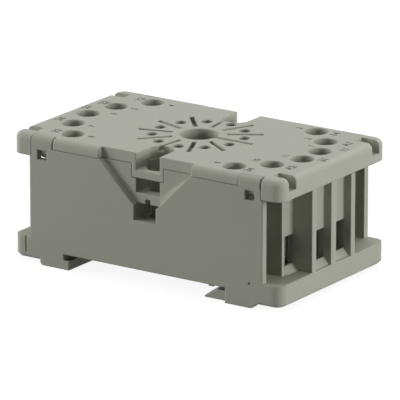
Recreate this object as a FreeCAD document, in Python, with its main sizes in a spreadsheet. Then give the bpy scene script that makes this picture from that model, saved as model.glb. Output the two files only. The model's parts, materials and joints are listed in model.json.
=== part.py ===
import FreeCAD, Part
import os
import re
import Sketcher

# Relay socket for a plug-in relay with eleven round pins.
# X runs along the length, Y across it and Z up from the surface that the feet stand on.
# All lengths are in millimetres and all angles in degrees.
# FAR and BELOW lie well outside the part, LAP carries a cut or a rib past a shared face,
# and CLOSE is how near two heights are when they count as one.

V = FreeCAD.Vector
FAR = "60"
BELOW = "-60"
LAP = "0.2"
CLOSE = 0.001

# Driving sizes: alias, value, meaning.
SIZES = [
    ("overall_length", 65.0, "housing flange and cover, end to end"),
    ("overall_width", 38.6, "across both long sides"),
    ("overall_height", 27.1, "feet to the top of the cover"),
    ("corner_radius", 2.2, "upright corners of cover and flange"),
    ("top_edge_radius", 1.3, "rounding round the top of the cover"),
    ("base_edge_bevel", 0.6, "bevel under the ends of the flange"),
    ("seam_gap", 0.1, "between housing and cover wherever they face each other"),
    ("cover_thickness", 2.3, "plate of the cover"),
    ("rim_height", 4.4, "end rims of the cover"),
    ("rim_width", 4.65, "end rims of the cover, along the length"),
    ("notch_length", 4.1, "marker notches at the cover's corners, along the length"),
    ("notch_width", 2.6, "marker notches, across"),
    ("notch_start", 13.9, "marker notches, centre plane to near wall"),
    ("notch_depth", 2.7, "marker notches, below the top"),
    ("wall_thickness", 1.4, "long side walls of the housing"),
    ("wall_end", 28.2, "centre to the ends of the long side walls"),
    ("flange_top", 5.5, "upper face of the base flange"),
    ("flange_base", 0.95, "under face of the base flange"),
    ("rib_reach", 32.4, "centre to the ends of the long ribs"),
    ("rib_setback", 28.6, "centre to the end of the short ribs, right end"),
    ("left_rib_reach", 30.2, "centre to the end of the outer ribs, left end"),
    ("middle_rib", 1.8, "thickness of the middle rib, right end"),
    ("long_rib", 1.5, "thickness of the long ribs beside the middle"),
    ("short_rib", 0.9, "thickness of the outer ribs"),
    ("right_long_rib_y", 7.1, "long ribs of the right end, off centre"),
    ("right_short_rib_y", 12.5, "outer ribs of the right end, off centre"),
    ("left_long_rib_y", 3.8, "long ribs of the left end, off centre"),
    ("left_short_rib_y", 10.9, "outer ribs of the left end, off centre"),
    ("right_near_x", 26.9, "terminals beside the middle rib, right end"),
    ("right_near_y", 3.2, "the same, off centre"),
    ("right_mid_x", 24.05, "second terminals, right end"),
    ("right_mid_y", 9.75, "the same, off centre"),
    ("right_far_x", 18.5, "third terminals, right end"),
    ("right_far_y", 14.9, "the same, off centre"),
    ("left_near_x", 27.4, "middle terminal, left end"),
    ("left_mid_x", 25.75, "second terminals, left end"),
    ("left_mid_y", 7.6, "the same, off centre"),
    ("left_far_x", 21.2, "third terminals, left end"),
    ("left_far_y", 14.1, "the same, off centre"),
    ("panel_thickness", 1.45, "wall in front of each clamp"),
    ("wire_sill", 6.9, "lower edge of the wire windows"),
    ("wire_lintel", 13.0, "upper edge of the wire windows"),
    ("sill_reach", 1.2, "funnel ramp in front of each wire window"),
    ("access_radius", 2.5, "screwdriver holes in the cover"),
    ("clamp_length", 4.4, "clamp box along the wire"),
    ("clamp_width", 4.6, "clamp box across the wire"),
    ("clamp_sheet", 0.8, "sheet thickness of the clamp box"),
    ("clamp_thread", 1.4, "threaded top of the clamp box"),
    ("clamp_base", 7.0, "underside of the open clamp box"),
    ("clamp_travel", 3.0, "rise of the clamp box when its screw is driven home"),
    ("closed_gap", 1.5, "floor of the raised clamp box to the contact strip"),
    ("clamp_slack", 0.5, "contact strip to the threaded top of the open clamp box"),
    ("clamp_play", 0.15, "clamp box to the cavity walls"),
    ("clamp_floor_gap", 0.3, "open clamp box to the floor of its cavity"),
    ("clamp_bend", 0.5, "bevel along the bends of the clamp box"),
    ("screw_radius", 1.5, "thread of the terminal screw"),
    ("screw_play", 0.05, "thread to the clamp box, on the radius"),
    ("screw_tip_gap", 0.05, "screw point to the contact strip"),
    ("head_radius", 2.65, "terminal screw head"),
    ("head_height", 2.0, "terminal screw head"),
    ("head_play", 0.2, "screw head to its seat and to the cover, on the radius"),
    ("head_drop", 0.5, "cover plate to the top of the screw head"),
    ("head_seat_gap", 0.1, "screw head to the floor of its counterbore"),
    ("drive_width", 0.8, "cross recess of the screw head"),
    ("drive_reach", 1.65, "cross recess, centre to the end of an arm"),
    ("drive_depth", 1.1, "cross recess of the screw head"),
    ("strip_thickness", 0.8, "contact strips"),
    ("strip_width", 2.4, "contact strips"),
    ("strip_bend", 0.6, "bend of a contact strip, in front of the clamp cavity"),
    ("strip_reach", 1.75, "end of a contact strip past the middle of its clamp"),
    ("strip_play", 0.15, "contact strip and sleeve to the housing"),
    ("pin_circle", 19.05, "circle of the relay pins"),
    ("pin_count", 11, "relay pins"),
    ("pin_hole_radius", 1.25, "pin holes in the cover"),
    ("sleeve_room", 1.25, "contact sleeves, centre to the inside of a wall"),
    ("sleeve_wall", 0.25, "sheet thickness of the contact sleeves"),
    ("sleeve_slit", 0.5, "slit between the two halves of a sleeve"),
    ("sleeve_drop", 0.4, "cover plate to the top of the sleeves"),
    ("sleeve_root", 1.5, "closed foot of a sleeve above its strip"),
    ("guide_radius", 4.05, "hole for the guide post of the relay"),
    ("guide_wall", 1.15, "tube round the guide hole"),
    ("guide_length", 14.0, "guide hole, top of the cover to its lower end"),
    ("guide_play", 0.15, "guide tube to the well in the housing"),
    ("guide_floor_gap", 0.3, "end of the guide tube to the floor of its well"),
    ("keyway_reach", 6.1, "centre to the outer end of the keyway"),
    ("slot_width", 1.05, "radial slots and keyway"),
    ("slot_start", 5.6, "radial slots, inner end"),
    ("slot_end", 13.0, "radial slots, outer end"),
    ("slot_depth", 1.3, "radial slots"),
    ("fixing_y", 13.7, "panel screw holes, off centre"),
    ("fixing_radius", 2.25, "panel screw holes"),
    ("well_radius", 2.9, "round recess over each panel screw hole"),
    ("collar_half_width", 3.85, "strap of the cover in front of the recess"),
    ("collar_drop", 5.15, "lower edge of the strap, below the top"),
    ("bar_drop", 3.6, "upper edge of the strap, below the top"),
    ("ledge_drop", 8.2, "floor of the upper side window, below the top"),
    ("lower_window_top", 10.3, "lower side window, below the top"),
    ("lower_window_base", 13.7, "lower side window, below the top"),
    ("lower_window_half", 2.7, "half width of the lower side window"),
    ("bridge_slot_half", 0.62, "half width of the slot in the bridge"),
    ("bridge_slot_top", 9.35, "slot in the bridge, below the top"),
    ("recess_depth", 1.2, "tapered recess on the long sides"),
    ("recess_half_top", 11.2, "half width of that recess at the top"),
    ("recess_half_base", 2.9, "half width of that recess at its foot"),
    ("recess_shoulder", 2.1, "start of its slopes, below the top"),
    ("recess_foot", 10.5, "end of its slopes, below the top"),
    ("tab_start", 22.4, "housing tabs in the cover's sides, centre to near edge"),
    ("tab_end", 27.8, "the same, to the far edge"),
    ("tab_slit", 0.3, "gap on one side of each tab"),
    ("latch_hole_start", 24.0, "square holes in the tabs, centre to near edge"),
    ("latch_hole_end", 26.3, "the same, to the far edge"),
    ("latch_hole_top", 2.9, "square holes, below the top"),
    ("latch_hole_base", 4.9, "square holes, below the top"),
    ("hook_play", 0.12, "cover hooks to the housing"),
    ("hook_arm", 1.0, "thickness of the cover hooks"),
    ("hook_bite", 0.7, "reach of the hooks into the square holes"),
    ("hook_lip", 0.5, "upright edge of the hooks, above their slope"),
    ("rail_seat", 3.2, "face that lies on the rail"),
    ("rail_slot_height", 1.3, "room for the edge of the rail"),
    ("rail_slot_depth", 1.3, "fixed hook of the left foot"),
    ("left_foot_outer", 25.8, "left foot, centre to its outer end"),
    ("left_foot_inner", 18.7, "left foot, centre to its inner end"),
    ("foot_round", 0.8, "outer lower edge of the left foot"),
    ("cheek_inner", 19.3, "right foot, centre to its inner end"),
    ("cheek_outer", 25.5, "right foot, centre to its chamfer"),
    ("cheek_chamfer", 1.2, "chamfer of the right foot"),
    ("cheek_wall", 0.8, "cheeks beside the rail latch"),
    ("ledge_width", 1.0, "ledges that carry the rail latch"),
    ("ledge_height", 0.8, "the same, height"),
    ("latch_play", 0.2, "rail latch to its channel"),
    ("latch_lift", 0.1, "rail latch above the surface that the feet stand on"),
    ("latch_top", 2.1, "upper face of the rail latch"),
    ("latch_tip", 12.4, "centre to the foremost point of the latch nose"),
    ("latch_sweep", 2.3, "how far the nose falls back at its corners"),
    ("latch_travel", 2.8, "rail latch, closed to open"),
    ("latch_tail_end", 28.4, "centre to the end of the latch tail"),
    ("latch_tail_half", 6.0, "half width of the latch tail"),
    ("nose_rise", 1.1, "sloped front of the latch nose, height"),
    ("nose_run", 2.05, "sloped front of the latch nose, along"),
    ("driver_slot_length", 5.0, "screwdriver slot of the latch tail, across"),
    ("driver_slot_width", 1.2, "the same, along the latch"),
    ("mark_width", 0.3, "moulding mark lines"),
    ("mark_depth", 0.3, "moulding mark lines"),
    ("mark_base", 2.2, "lower end of the mark line"),
    ("mark_x", 29.3, "mark line on the left flange, centre to line"),
    ("dimple_x", 25.1, "ejector dimple, right end"),
    ("dimple_z", 5.0, "ejector dimple, height"),
    ("dimple_radius", 0.25, "ejector dimple"),
    ("stop_x", 15.2, "rail stop rib under the housing"),
    ("stop_length", 1.2, "rail stop rib, along"),
    ("stop_height", 0.35, "rail stop rib, height"),
    ("stop_width", 1.8, "rail stop rib, across"),
    ("stop_inset", 0.2, "rail stop rib to the long side"),
]

doc = FreeCAD.newDocument("relay_socket")
sheet = doc.addObject("Spreadsheet::Sheet", "sizes")
for row, (alias, value, meaning) in enumerate(SIZES, start=1):
    sheet.set(f"A{row}", alias)
    sheet.set(f"B{row}", str(value))
    sheet.set(f"C{row}", meaning)
    sheet.setAlias(f"B{row}", alias)
doc.recompute()

ALIAS = re.compile(r"\b[a-z]+(?:_[a-z]+)+\b")


def bound(expression):
    """The expression with every alias looked up in the sheet."""
    return ALIAS.sub(r"sizes.\g<0>", expression)


def number(expression):
    """The expression's present value."""
    return float(sheet.evalExpression(bound(expression)))


def tie(thing, path, expression):
    thing.setExpression(path, bound(expression))


def origin_part(body, role):
    return next(part for part in body.Origin.OriginFeatures if part.Role == role)


# Shapes for a sketch: a list of corners is a polygon, and a tuple is a circle.

def rectangle(left, right, low, high):
    return [(left, low), (right, low), (right, high), (left, high)]


def circle(x, y, radius):
    return (x, y, radius)


def square(x, y, half):
    return rectangle(f"{x} - {half}", f"{x} + {half}", f"{y} - {half}", f"{y} + {half}")


def octagon(x, y, radius):
    """Eight-sided outline that touches a circle of that radius from outside."""
    corners = []
    for k in range(8):
        angle = f"({k} + 0.5) * 45"
        corners.append((f"{x} + {radius} / cos(22.5) * cos({angle})",
                        f"{y} + {radius} / cos(22.5) * sin({angle})"))
    return corners


def place_point(sketch, edge, end, x, y):
    """Hold one end of an edge, or the centre of a circle, at x, y from the origin."""
    for kind, expression in (("DistanceX", x), ("DistanceY", y)):
        held = sketch.addConstraint(Sketcher.Constraint(kind, -1, 1, edge, end, number(expression)))
        tie(sketch, f"Constraints[{held}]", expression)


def draw_polygon(sketch, corners):
    first = sketch.GeometryCount
    points = [V(number(x), number(y), 0) for x, y in corners]
    following = points[1:] + points[:1]
    sketch.addGeometry([Part.LineSegment(a, b) for a, b in zip(points, following)], False)
    count = len(corners)
    joined = []
    for k in range(count):
        joined.append(Sketcher.Constraint("Coincident", first + k, 2, first + (k + 1) % count, 1))
    sketch.addConstraint(joined)
    for k, (x, y) in enumerate(corners):
        place_point(sketch, first + k, 1, x, y)


def draw_circle(sketch, x, y, radius):
    centre = V(number(x), number(y), 0)
    ring = sketch.addGeometry(Part.Circle(centre, V(0, 0, 1), number(radius)), False)
    place_point(sketch, ring, 3, x, y)
    held = sketch.addConstraint(Sketcher.Constraint("Radius", ring, number(radius)))
    tie(sketch, f"Constraints[{held}]", radius)


def make_sketch(body, name, role, offset, shapes):
    """A sketch on one of the body's own origin planes, shifted along its normal."""
    sketch = body.newObject("Sketcher::SketchObject", name + "_sketch")
    sketch.AttachmentSupport = [(origin_part(body, role), "")]
    sketch.MapMode = "FlatFace"
    tie(sketch, "AttachmentOffset.Base.z", offset)
    for shape in shapes:
        if isinstance(shape, tuple):
            draw_circle(sketch, *shape)
        else:
            draw_polygon(sketch, shape)
    return sketch


def add_up(body, name, floor, top, shapes):
    """Material between two heights."""
    pad = body.newObject("PartDesign::Pad", name)
    pad.Profile = make_sketch(body, name, "XY_Plane", floor, shapes)
    tie(pad, "Length", f"({top}) - ({floor})")
    return pad


def cut_up(body, name, floor, top, shapes):
    """A pocket between two heights."""
    pocket = body.newObject("PartDesign::Pocket", name)
    pocket.Profile = make_sketch(body, name, "XY_Plane", floor, shapes)
    pocket.Reversed = True
    tie(pocket, "Length", f"({top}) - ({floor})")
    return pocket


def cut_side(body, name, side, face, depth, shapes):
    """A pocket into the long side at -Y or +Y, drawn in X and Z."""
    pocket = body.newObject("PartDesign::Pocket", name)
    pocket.Profile = make_sketch(body, name, "XZ_Plane", f"{-side} * ({face})", shapes)
    pocket.Reversed = side > 0
    tie(pocket, "Length", depth)
    return pocket


def add_across(body, name, start, end, shapes):
    """Material between two places along Y, drawn in X and Z."""
    pad = body.newObject("PartDesign::Pad", name)
    pad.Profile = make_sketch(body, name, "XZ_Plane", f"-({end})", shapes)
    tie(pad, "Length", f"({end}) - ({start})")
    return pad


def add_along(body, name, start, end, shapes):
    """Material between two places along X, drawn in Y and Z."""
    pad = body.newObject("PartDesign::Pad", name)
    pad.Profile = make_sketch(body, name, "YZ_Plane", start, shapes)
    tie(pad, "Length", f"({end}) - ({start})")
    return pad


def repeat_round(body, feature):
    """Copies of the last feature at every pin place round the Z axis."""
    pattern = body.newObject("PartDesign::PolarPattern", feature.Name + "_round")
    pattern.Originals = [feature]
    pattern.Axis = (origin_part(body, "Z_Axis"), [""])
    pattern.Angle = 360
    tie(pattern, "Occurrences", "pin_count")
    body.Tip = pattern
    return pattern


def work_edges(body, kind, name, wanted):
    """A fillet or chamfer, with no size yet, on the edges of the present tip that the test picks out."""
    doc.recompute()
    tip = body.Tip
    names = [f"Edge{k}" for k, edge in enumerate(tip.Shape.Edges, start=1) if wanted(edge)]
    feature = body.newObject("PartDesign::" + kind, name)
    feature.Base = (tip, names)
    return feature


def round_edges(body, name, radius, wanted):
    tie(work_edges(body, "Fillet", name, wanted), "Radius", radius)


def bevel_edges(body, name, size, wanted):
    tie(work_edges(body, "Chamfer", name, wanted), "Size", size)


def upright(edge):
    box = edge.BoundBox
    return box.XLength < CLOSE and box.YLength < CLOSE


def level_at(height):
    """Test for edges that lie wholly at one height."""
    z = number(height)
    return lambda edge: abs(edge.BoundBox.ZMin - z) < CLOSE and abs(edge.BoundBox.ZMax - z) < CLOSE


def new_body(name):
    body = doc.addObject("PartDesign::Body", name)
    body.Label = name
    return body


# Terminals: place along X, place across Y, side of the socket (+1 right, -1 left),
# number of the pin round the circle, and the bay in front as inner rib and outer rib.
TERMINALS = []
for hand in (1, -1):
    TERMINALS.append(("right_near_x", f"{hand} * right_near_y", 1, hand, 1))
    TERMINALS.append(("right_mid_x", f"{hand} * right_mid_y", 1, hand, 2))
    TERMINALS.append(("right_far_x", f"{hand} * right_far_y", 1, hand, 3))
    TERMINALS.append(("-left_far_x", f"{hand} * left_far_y", -1, hand, 4))
    TERMINALS.append(("-left_mid_x", f"{hand} * left_mid_y", -1, hand, 5))
TERMINALS.insert(5, ("-left_near_x", "0", -1, 1, 6))

HALF_LENGTH = "overall_length / 2"
HALF_WIDTH = "overall_width / 2"
PLATE_BASE = "overall_height - cover_thickness"
WALL_TOP = f"{PLATE_BASE} - seam_gap"
RIM_BASE = "overall_height - rim_height"
RIM_INNER = f"{HALF_LENGTH} - rim_width"
INNER_FACE = f"{HALF_WIDTH} - wall_thickness"
STRIP_BASE = "clamp_base + clamp_sheet + clamp_travel + closed_gap"
STRIP_TOP = f"{STRIP_BASE} + strip_thickness"
CLAMP_TOP = f"({STRIP_TOP} + clamp_slack + clamp_thread)"
CAVITY_HALF = "(clamp_length / 2 + clamp_play)"
PANEL_FACE = f"({CAVITY_HALF} + panel_thickness)"
CHANNEL_FLOOR = f"{STRIP_BASE} - strip_play"
LATCH_HALF = f"({HALF_WIDTH} - cheek_wall - latch_play)"
CORE_HALF = f"({LATCH_HALF} - ledge_width)"
PLATE_END = "(cheek_outer - latch_travel - latch_play)"


def pin_x(pin, radius="pin_circle / 2"):
    return f"{radius} * cos(({pin} - 0.5) * 360 / pin_count)"


def pin_y(pin, hand, radius="pin_circle / 2"):
    return f"{hand} * {radius} * sin(({pin} - 0.5) * 360 / pin_count)"


def strip_outline(x, y, side, hand, pin, play):
    """Contact strip from its pin to the far end inside the clamp, widened by a play."""
    half = f"(strip_width / 2 + {play})"
    bend = f"{x} - {side} * ({CAVITY_HALF} + strip_bend)"
    end = f"{x} + {side} * strip_reach"
    start_x = pin_x(pin)
    start_y = pin_y(pin, hand)
    return [
        (start_x, f"{start_y} - {half}"),
        (bend, f"{y} - {half}"),
        (end, f"{y} - {half}"),
        (end, f"{y} + {half}"),
        (bend, f"{y} + {half}"),
        (start_x, f"{start_y} + {half}"),
    ]


def build_cover():
    """Clip-on top plate with end rims, guide tube, pin holes and screwdriver holes."""
    body = new_body("top_cover")
    top = "overall_height"
    outline = rectangle(f"-{HALF_LENGTH}", HALF_LENGTH, f"-{HALF_WIDTH}", HALF_WIDTH)
    add_up(body, "plate", PLATE_BASE, top, [outline])
    rims = [
        rectangle(RIM_INNER, HALF_LENGTH, f"-{HALF_WIDTH}", HALF_WIDTH),
        rectangle(f"-{HALF_LENGTH}", f"-({RIM_INNER})", f"-{HALF_WIDTH}", HALF_WIDTH),
    ]
    add_up(body, "rims", RIM_BASE, PLATE_BASE, rims)
    reach = number(HALF_LENGTH) - CLOSE
    round_edges(body, "cover_corners", "corner_radius",
                lambda edge: upright(edge) and edge.BoundBox.XMax ** 2 >= reach ** 2)
    round_edges(body, "cover_top_edge", "top_edge_radius", level_at(top))
    add_cover_details(body, top)
    return body


def add_cover_details(body, top):
    recess_face = f"{HALF_WIDTH} - recess_depth"
    collars = []
    bands = []
    tabs = []
    notches = []
    mouths = []
    wells = []
    for hand in (-1, 1):
        near = sorted_pair(hand, "fixing_y", recess_face)
        collars.append(rectangle("-collar_half_width", "collar_half_width", *near))
        outer = sorted_pair(hand, recess_face, FAR)
        bands.append(rectangle("-recess_half_top", "recess_half_top", *outer))
        mouths.append(rectangle("-well_radius", "well_radius", *sorted_pair(hand, "fixing_y", FAR)))
        wells.append(circle("0", f"{hand} * fixing_y", "well_radius"))
        for side in (-1, 1):
            along = sorted_pair(side, "tab_start", RIM_INNER)
            tabs.append(rectangle(*along, *sorted_pair(hand, f"{INNER_FACE} - seam_gap", FAR)))
            along = sorted_pair(side, f"{HALF_LENGTH} - notch_length", FAR)
            across = sorted_pair(hand, "notch_start", "notch_start + notch_width")
            notches.append(rectangle(*along, *across))
    add_up(body, "collars", f"{top} - collar_drop", PLATE_BASE, collars)
    cut_up(body, "recess_bands", PLATE_BASE, FAR, bands)
    cut_up(body, "tab_gaps", PLATE_BASE, FAR, tabs)
    cut_up(body, "marker_notches", f"{top} - notch_depth", FAR, notches)
    cut_up(body, "screw_wells", BELOW, FAR, wells)
    cut_up(body, "well_mouths", f"{top} - bar_drop", FAR, mouths)
    tube_base = f"{top} - guide_length"
    add_up(body, "guide_tube", tube_base, PLATE_BASE, [circle("0", "0", "guide_radius + guide_wall")])
    cut_up(body, "guide_hole", BELOW, FAR, [circle("0", "0", "guide_radius")])
    half_slot = "slot_width / 2"
    slot = cut_up(body, "radial_slot", f"{top} - slot_depth", FAR,
                  [rectangle("slot_start", "slot_end", f"-{half_slot}", half_slot)])
    repeat_round(body, slot)
    cut_up(body, "keyway", BELOW, FAR,
           [rectangle("guide_radius / 2", "keyway_reach", f"-{half_slot}", half_slot)])
    hole = cut_up(body, "pin_hole", BELOW, FAR,
                  [circle(pin_x(1), pin_y(1, 1), "pin_hole_radius")])
    repeat_round(body, hole)
    holes = [circle(x, y, "access_radius") for x, y, *_ in TERMINALS]
    cut_up(body, "access_holes", BELOW, FAR, holes)
    rooms = [circle(x, y, "head_radius + head_play") for x, y, *_ in TERMINALS]
    cut_up(body, "head_rooms", BELOW, PLATE_BASE, rooms)
    for side in (-1, 1):
        add_hooks(body, side)


def sorted_pair(sign, near, far):
    """The two ends of a span on the chosen side of the centre, lower one first."""
    if sign > 0:
        return near, far
    return f"-({far})", f"-({near})"


def add_hooks(body, side):
    """Hooks of one end of the cover, reaching into the square holes of the housing."""
    outer = f"{INNER_FACE} - hook_play"
    inner = f"{outer} - hook_arm"
    nose = f"{INNER_FACE} + hook_bite"
    catch = "overall_height - latch_hole_top - hook_play"
    foot = "overall_height - latch_hole_base + hook_play"
    profiles = []
    for hand in (-1, 1):
        profile = [
            (inner, f"{PLATE_BASE} + seam_gap"),
            (outer, f"{PLATE_BASE} + seam_gap"),
            (outer, catch),
            (nose, catch),
            (nose, f"{catch} - hook_lip"),
            (outer, foot),
            (inner, foot),
        ]
        profiles.append([(f"{hand} * ({y})", z) for y, z in profile])
    start, end = sorted_pair(side, "latch_hole_start + hook_play", "latch_hole_end - hook_play")
    add_along(body, "hooks_right" if side > 0 else "hooks_left", start, end, profiles)


def build_housing():
    """Moulded base with end bays, clamp cavities, contact channels, feet and rail hook."""
    body = new_body("housing")
    seat = "rail_seat"
    hook_roof = "rail_seat - rail_slot_height"
    hook_x = "-(left_foot_inner + rail_slot_depth)"
    shoulder = f"{RIM_BASE} - seam_gap"
    inner_rim = f"{RIM_INNER} - seam_gap"
    profile = [
        (f"-{HALF_LENGTH}", "flange_base"),
        ("-left_foot_outer", "flange_base"),
        ("-left_foot_outer", "0"),
        ("-left_foot_inner", "0"),
        ("-left_foot_inner", hook_roof),
        (hook_x, hook_roof),
        (hook_x, seat),
        ("cheek_inner", seat),
        ("cheek_inner", "0"),
        ("cheek_outer", "0"),
        ("cheek_outer + cheek_chamfer", "flange_base"),
        (HALF_LENGTH, "flange_base"),
        (HALF_LENGTH, "flange_top"),
        ("rib_reach", "flange_top"),
        ("rib_reach", shoulder),
        (inner_rim, shoulder),
        (inner_rim, WALL_TOP),
        (f"-({inner_rim})", WALL_TOP),
        (f"-({inner_rim})", shoulder),
        ("-rib_reach", shoulder),
        ("-rib_reach", "flange_top"),
        (f"-{HALF_LENGTH}", "flange_top"),
    ]
    add_across(body, "block", f"-{HALF_WIDTH}", HALF_WIDTH, [profile])
    reach = number(HALF_LENGTH) - CLOSE
    round_edges(body, "flange_corners", "corner_radius",
                lambda edge: upright(edge) and edge.BoundBox.XMax ** 2 >= reach ** 2)
    foot = number("left_foot_outer")
    round_edges(body, "foot_edge", "foot_round",
                lambda edge: level_at("0")(edge) and abs(edge.BoundBox.XMin + foot) < CLOSE
                and edge.BoundBox.XLength < CLOSE)
    bevel_edges(body, "flange_under_edge", "base_edge_bevel",
                lambda edge: level_at("flange_base")(edge) and edge.BoundBox.XLength < CLOSE
                and edge.BoundBox.XMax ** 2 >= reach ** 2)
    cut_latch_channel(body)
    cut_side_features(body)
    add_tabs(body)
    cut_bays(body)
    cut_wells(body)
    cut_socket_well(body)
    cut_terminals(body)
    return body


def bay_spans():
    """Every end bay: side, panel terminal, lower and upper Y on the positive half."""
    right_long_in = "right_long_rib_y - long_rib / 2"
    right_long_out = "right_long_rib_y + long_rib / 2"
    right_short_in = "right_short_rib_y - short_rib / 2"
    right_short_out = "right_short_rib_y + short_rib / 2"
    left_long_in = "left_long_rib_y - long_rib / 2"
    left_long_out = "left_long_rib_y + long_rib / 2"
    left_short_in = "left_short_rib_y - short_rib / 2"
    left_short_out = "left_short_rib_y + short_rib / 2"
    spans = []
    for hand in (1, -1):
        spans.append((1, hand, "right_near_x", "middle_rib / 2", right_long_in))
        spans.append((1, hand, "right_mid_x", right_long_out, right_short_in))
        spans.append((1, hand, "right_far_x", right_short_out, INNER_FACE))
        spans.append((-1, hand, "left_mid_x", left_long_out, left_short_in))
        spans.append((-1, hand, "left_far_x", left_short_out, INNER_FACE))
    spans.append((-1, 1, "left_near_x", f"-({left_long_in})", left_long_in))
    return spans


def cut_bays(body):
    """Clear the end bays from the flange up, then cut the wire windows and leave their ramps."""
    bays = []
    windows = []
    for side, hand, terminal, low, high in bay_spans():
        panel = f"({terminal} + {PANEL_FACE})"
        across = sorted_pair(hand, low, high)
        bays.append(rectangle(*sorted_pair(side, panel, FAR), *across))
        windows.append(rectangle(*sorted_pair(side, terminal, FAR), *across))
    cut_up(body, "bays", "flange_top", FAR, bays)
    cut_up(body, "wire_windows", "wire_sill", "wire_lintel", windows)
    for count, (side, hand, terminal, low, high) in enumerate(bay_spans(), start=1):
        panel = f"({terminal} + {PANEL_FACE})"
        root = f"({panel} - {LAP})"
        ramp = [
            (f"{side} * {root}", f"flange_top - {LAP}"),
            (f"{side} * ({panel} + sill_reach)", f"flange_top - {LAP}"),
            (f"{side} * ({panel} + sill_reach)", "flange_top"),
            (f"{side} * {panel}", "wire_sill"),
            (f"{side} * {root}", "wire_sill"),
        ]
        add_across(body, f"sill_{count}", *sorted_pair(hand, low, high), [ramp])
    ends = []
    for hand in (1, -1):
        wall = sorted_pair(hand, f"{INNER_FACE} - {LAP}", FAR)
        short = sorted_pair(hand, f"right_short_rib_y - short_rib / 2 - {LAP}",
                            f"right_short_rib_y + short_rib / 2 + {LAP}")
        left_short = sorted_pair(hand, f"left_short_rib_y - short_rib / 2 - {LAP}",
                                 f"left_short_rib_y + short_rib / 2 + {LAP}")
        ends.append(rectangle("wall_end", FAR, *wall))
        ends.append(rectangle("rib_setback", FAR, *short))
        ends.append(rectangle(f"-{FAR}", "-wall_end", *wall))
        ends.append(rectangle(f"-{FAR}", "-left_rib_reach", *left_short))
    cut_up(body, "wall_ends", "flange_top", FAR, ends)


def cut_terminals(body):
    """Cavity for each clamp, counterbore for each screw head, channel for each contact."""
    half_width = "(clamp_width / 2 + clamp_play)"
    cavities = []
    heads = []
    for x, y, *_ in TERMINALS:
        cavities.append(rectangle(f"{x} - {CAVITY_HALF}", f"{x} + {CAVITY_HALF}",
                                  f"{y} - {half_width}", f"{y} + {half_width}"))
        heads.append(octagon(x, y, "(head_radius + head_play)"))
    cut_up(body, "clamp_cavities", "clamp_base - clamp_floor_gap", FAR, cavities)
    cut_up(body, "head_bores", f"{PLATE_BASE} - head_drop - head_height - head_seat_gap", FAR, heads)
    channels = [strip_outline(*terminal, "strip_play") for terminal in TERMINALS]
    cut_up(body, "contact_channels", CHANNEL_FLOOR, FAR, channels)


def cut_socket_well(body):
    """Round wells for the guide tube and for the contact sleeves."""
    cut_up(body, "guide_well", "overall_height - guide_length - guide_floor_gap", FAR,
           [circle("0", "0", "guide_radius + guide_wall + guide_play")])
    half = "(sleeve_room + sleeve_wall + strip_play)"
    wells = [square(pin_x(pin), pin_y(pin, hand), half) for _, _, _, hand, pin in TERMINALS]
    cut_up(body, "sleeve_wells", CHANNEL_FLOOR, FAR, wells)


def cut_side_features(body):
    """Tapered recess, windows, panel screw holes and moulding marks of the long sides."""
    top = "overall_height"
    recess_face = f"{HALF_WIDTH} - recess_depth"
    taper = [
        ("-recess_half_top", FAR),
        ("-recess_half_top", f"{top} - recess_shoulder"),
        ("-recess_half_base", f"{top} - recess_foot"),
        ("recess_half_base", f"{top} - recess_foot"),
        ("recess_half_top", f"{top} - recess_shoulder"),
        ("recess_half_top", FAR),
    ]
    window = rectangle("-lower_window_half", "lower_window_half",
                       f"{top} - lower_window_base", f"{top} - lower_window_top")
    slit = rectangle("-bridge_slot_half", "bridge_slot_half",
                     f"{top} - lower_window_top - {LAP}", f"{top} - bridge_slot_top")
    line = rectangle("-mark_x - mark_width / 2", "-mark_x + mark_width / 2",
                     "mark_base", f"flange_top + {LAP}")
    for side in (-1, 1):
        name = "back" if side > 0 else "front"
        cut_side(body, f"recess_{name}", side, HALF_WIDTH, "recess_depth", [taper])
        cut_side(body, f"window_{name}", side, HALF_WIDTH, f"{HALF_WIDTH} - fixing_y", [window])
        cut_side(body, f"bridge_{name}", side, HALF_WIDTH, f"{HALF_WIDTH} - fixing_y", [slit])
        cut_side(body, f"mark_{name}", side, HALF_WIDTH, "mark_depth", [line])
    cut_side(body, "dimple", -1, HALF_WIDTH, "mark_depth", [circle("dimple_x", "dimple_z", "dimple_radius")])
    holes = [circle("0", f"{hand} * fixing_y", "fixing_radius") for hand in (-1, 1)]
    cut_up(body, "fixing_holes", BELOW, FAR, holes)


def cut_wells(body):
    """Recess over each panel screw hole, and the seat of the cover's strap in front of it."""
    top = "overall_height"
    wells = []
    seats = []
    half = "(collar_half_width + seam_gap)"
    for hand in (-1, 1):
        wells.append(rectangle("-well_radius", "well_radius", *sorted_pair(hand, "fixing_y", FAR)))
        seats.append(rectangle(f"-{half}", half, *sorted_pair(hand, "fixing_y - seam_gap", FAR)))
    cut_up(body, "clip_wells", f"{top} - ledge_drop", FAR, wells)
    cut_up(body, "collar_seats", f"{top} - collar_drop - seam_gap", FAR, seats)


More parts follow.
